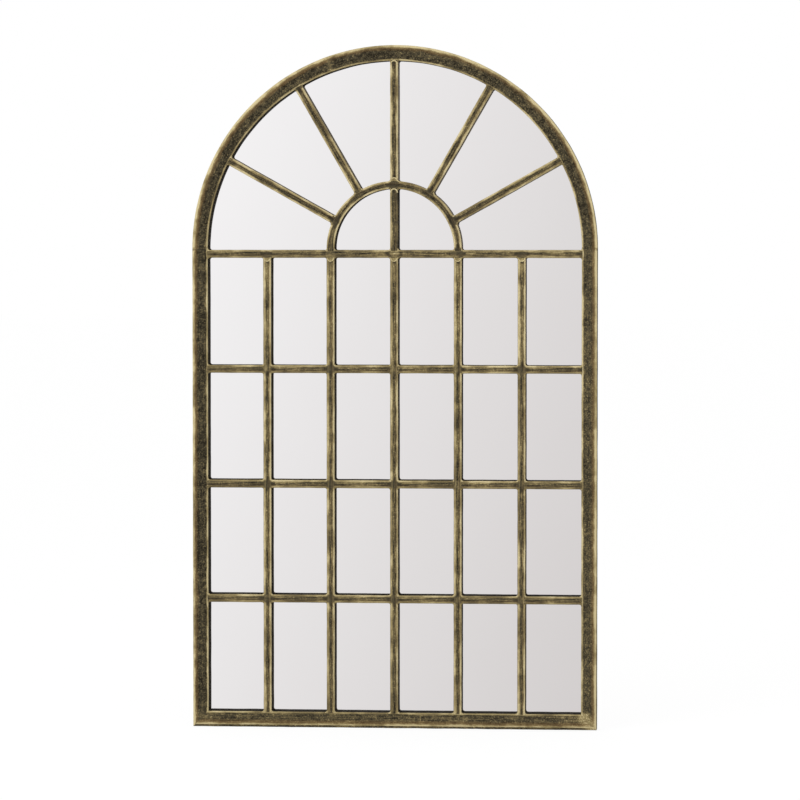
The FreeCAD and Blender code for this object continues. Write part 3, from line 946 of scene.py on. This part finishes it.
# noise as scale, detail, roughness and distortion; colours and roughness are read from it
silverLook = {"film": (7, 3, 0.5), "roughness": (0.3, 0.8, 0.004, 0.016),
              "colours": [(0.3, (0.940, 0.924, 0.930)), (0.7, (0.946, 0.932, 0.938))]}
backPaintLook = {"brushed": (60, 4, 0.6), "roughness": (0.3, 0.7, 0.55, 0.75),
                 "colours": [(0.3, (0.045, 0.050, 0.048)), (0.7, (0.075, 0.080, 0.078))]}
boardLook = {"stretch": (260, 40, 900), "strands": (1.0, 6, 0.7, 0.6), "clouds": (14, 4, 0.5),
             "strandShare": 0.7, "cloudShare": 0.3, "roughness": (0.3, 0.7, 0.72, 0.88),
             "bump": (0.0003, 0.3),
             "colours": [(0.3, (0.17, 0.105, 0.06)), (0.5, (0.27, 0.175, 0.10)), (0.7, (0.36, 0.25, 0.15))]}
zincLook = {"spangle": (240, 2, 0.5), "scuffs": (900, 5, 0.7, 1.0), "roughness": (0.3, 0.75, 0.28, 0.52),
            "bump": (0.0001, 0.2), "colours": [(0.3, (0.42, 0.43, 0.43)), (0.7, (0.62, 0.62, 0.60))]}
rubberLook = {"grain": (1400, 3, 0.6), "roughness": (0.3, 0.7, 0.62, 0.8), "bump": (0.0002, 0.3),
              "colours": [(0.3, (0.022, 0.022, 0.022)), (0.75, (0.05, 0.05, 0.048))]}


def finishFrom(tree, shader, look, tone, wear):
    # colour from the one noise, roughness and bump from the other
    tree.links.new(colourRamp(tree, tone, look["colours"]), shader.inputs["Base Color"])
    tree.links.new(ease(tree, wear, *look["roughness"]), shader.inputs["Roughness"])
    if "bump" in look:
        bumpFrom(tree, shader, wear, *look["bump"])


def mirrorFinish():
    material, tree, shader = startMaterial("silveredGlass")
    shader.inputs["Metallic"].default_value = 1.0
    film = noiseOn(tree, objectPoint(tree), *silverLook["film"])
    finishFrom(tree, shader, silverLook, film, film)
    return material


def backPaintFinish():
    # grey paint that guards the silver, seen in the gap round the board
    material, tree, shader = startMaterial("mirrorBackPaint")
    brushed = noiseOn(tree, objectPoint(tree), *backPaintLook["brushed"])
    finishFrom(tree, shader, backPaintLook, brushed, brushed)
    return material


def makeMirror():
    low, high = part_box("mirror_glass")
    silver = low.y + mirrorSheet["silverShows"]
    spring = settingOut["springLine"]
    # the rim sinks a little into the frame, so that no light shows past it
    seat = mirrorSheet["seat"]
    clearSelection()
    bpy.ops.mesh.primitive_circle_add(vertices=mirrorSheet["sides"], radius=high.x + seat, fill_type="NGON",
                                      rotation=(math.pi / 2, 0, 0), location=(0, silver, spring))
    sheet = bpy.context.object
    sheet.name = "mirror_glassSheet"
    bpy.ops.object.transform_apply(location=True, rotation=True, scale=True)
    startEdit(sheet)
    bpy.ops.mesh.select_all(action="SELECT")
    bpy.ops.mesh.bisect(plane_co=(0, 0, spring), plane_no=(0, 0, -1), clear_outer=True)
    level = spring + mirrorSheet["levelWithin"]
    pickEdges(sheet, lambda a, b: max(a.z, b.z) < level and abs(a.x - b.x) > high.x)
    bpy.ops.mesh.extrude_region_move(TRANSFORM_OT_translate={"value": (0, 0, low.z - seat - spring)})
    bpy.ops.mesh.select_all(action="SELECT")
    bpy.ops.mesh.extrude_region_move(TRANSFORM_OT_translate={"value": (0, high.y - silver, 0)})
    bpy.ops.mesh.select_all(action="SELECT")
    bpy.ops.mesh.normals_make_consistent(inside=False)
    endEdit()
    arris = sheet.modifiers.new("arris", "BEVEL")
    arris.width = mirrorSheet["arris"]
    arris.segments = mirrorSheet["arrisSegments"]
    arris.angle_limit = math.radians(mirrorSheet["arrisAngle"])
    applyModifiers(sheet)
    finishSmooth(sheet, mirrorSheet["smooth"])
    sheet.data.materials.append(mirrorFinish())
    sheet.data.materials.append(backPaintFinish())
    # silver on the front, paint on the rim and the back
    for poly in sheet.data.polygons:
        poly.material_index = 0 if poly.normal.y < -mostly else 1
    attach(sheet, "mirror")
    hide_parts("mirror_glass")


def boardFinish():
    material, tree, shader = startMaterial("rawFibreboard")
    where = objectPoint(tree)
    strands = noiseOn(tree, stretched(tree, where, boardLook["stretch"]), *boardLook["strands"])
    clouds = noiseOn(tree, where, *boardLook["clouds"])
    tone = plus(tree, times(tree, strands, boardLook["strandShare"]),
                times(tree, clouds, boardLook["cloudShare"]))
    finishFrom(tree, shader, boardLook, tone, strands)
    return material


def zincFinish():
    material, tree, shader = startMaterial("zincPlate")
    where = objectPoint(tree)
    spangle = noiseOn(tree, where, *zincLook["spangle"])
    scuffs = noiseOn(tree, where, *zincLook["scuffs"])
    shader.inputs["Metallic"].default_value = 1.0
    finishFrom(tree, shader, zincLook, spangle, scuffs)
    return material


def rubberFinish():
    material, tree, shader = startMaterial("padRubber")
    grain = noiseOn(tree, objectPoint(tree), *rubberLook["grain"])
    finishFrom(tree, shader, rubberLook, grain, grain)
    return material


def coat(names, material):
    for name in names:
        nodes[name].data.materials.clear()
        nodes[name].data.materials.append(material)


makeMirror()
coat(["backing_board"], boardFinish())
coat([name for name in nodes if "hang" in name or name.startswith("turn_button")], zincFinish())
coat(["wall_pads"], rubberFinish())
print("sheet, board and fittings coated")


# room, light and camera

roomLight = {"fill": 0.60, "fromLeft": 0.22, "fromAbove": 0.15}
# the room that the mirror shows: brighter to the left and above, warmer where it is darker
roomSeen = {"toRight": -1.7, "up": 0.62, "shade": (-0.13, 0.42, 0.63, 1.07),
            "tint": [(0.0, (1.0, 0.972, 0.960)), (0.2, (1.0, 1.0, 1.0))]}
floorLook = {"size": 60, "below": 0.0008, "grey": 0.55, "roughness": 0.9, "glow": 1.14, "glowShare": 0.8}
# power, size and place of the two panels, which both face one point
panels = {"keyPanel": (50, 2.5, (-2.2, -3.2, 2.6)), "sidePanel": (36, 2.5, (2.6, -2.8, 0.9))}
panelAim = (0, 0, 0.55)
viewPoint = {"location": (0.569, -6.5, 0.801), "tilt": -2.405, "turn": 4.928, "focalPixels": 4073.8,
             "framePixels": 800, "sensor": 36, "farthest": 200}


def makeFloor():
    clearSelection()
    bpy.ops.mesh.primitive_plane_add(size=floorLook["size"], location=(0, 0, -floorLook["below"]))
    floor = bpy.context.object
    floor.name = "paleFloor"
    floor.visible_glossy = False
    material, tree, shader = startMaterial("paleFloor")
    grey = floorLook["grey"]
    shader.inputs["Base Color"].default_value = (grey, grey, grey, 1)
    shader.inputs["Roughness"].default_value = floorLook["roughness"]
    glow = addNode(tree, "ShaderNodeEmission")
    glow.inputs["Strength"].default_value = floorLook["glow"]
    mix = addNode(tree, "ShaderNodeMixShader")
    rays = addNode(tree, "ShaderNodeLightPath")
    tree.links.new(times(tree, rays.outputs["Is Camera Ray"], floorLook["glowShare"]), mix.inputs[0])
    tree.links.new(shader.outputs[0], mix.inputs[1])
    tree.links.new(glow.outputs[0], mix.inputs[2])
    tree.links.new(mix.outputs[0], tree.nodes["Material Output"].inputs["Surface"])
    floor.data.materials.append(material)


def makeWorld():
    world = bpy.data.worlds.new("paleRoom")
    scene.world = world
    world.use_nodes = True
    tree = world.node_tree
    background = tree.nodes["Background"]
    split = addNode(tree, "ShaderNodeSeparateXYZ")
    tree.links.new(addNode(tree, "ShaderNodeTexCoord").outputs["Generated"], split.inputs[0])
    toRight, up = split.outputs["X"], split.outputs["Z"]
    slope = plus(tree, times(tree, toRight, roomSeen["toRight"]), times(tree, up, roomSeen["up"]))
    shade = ease(tree, slope, *roomSeen["shade"])
    tint = colourRamp(tree, slope, roomSeen["tint"])
    rays = addNode(tree, "ShaderNodeLightPath")
    glossy = rays.outputs["Is Glossy Ray"]
    fill = plus(tree, times(tree, toRight, -roomLight["fromLeft"]), times(tree, up, roomLight["fromAbove"]))
    level = bySide(tree, glossy, shade, plus(tree, fill, roomLight["fill"]))
    # looked at straight, the room is plain white
    seen = sums(tree, "MAXIMUM", rays.outputs["Is Camera Ray"], rays.outputs["Is Transmission Ray"])
    tree.links.new(sums(tree, "MAXIMUM", level, seen), background.inputs["Strength"])
    colour = mixColours(tree, sums(tree, "SUBTRACT", glossy, seen, clamp=True), (1, 1, 1), tint)
    tree.links.new(colour, background.inputs["Color"])


def addLamp(name, power, size, location):
    clearSelection()
    bpy.ops.object.light_add(type="AREA", location=location)
    lamp = bpy.context.object
    lamp.name = name
    lamp.data.energy = power
    lamp.data.size = size
    lamp.visible_glossy = False
    lamp.rotation_euler = (Vector(panelAim) - Vector(location)).to_track_quat("-Z", "Y").to_euler()


def addCamera():
    clearSelection()
    tilt, turn = math.radians(90 + viewPoint["tilt"]), math.radians(viewPoint["turn"])
    bpy.ops.object.camera_add(location=viewPoint["location"], rotation=(tilt, 0, turn))
    camera = bpy.context.object
    camera.data.sensor_width = viewPoint["sensor"]
    camera.data.lens = viewPoint["focalPixels"] / viewPoint["framePixels"] * viewPoint["sensor"]
    camera.data.clip_end = viewPoint["farthest"]
    scene.camera = camera


makeFloor()
makeWorld()
for name, settings in panels.items():
    addLamp(name, *settings)
addCamera()
scene.view_settings.view_transform = "Standard"
print("room, light and camera set")
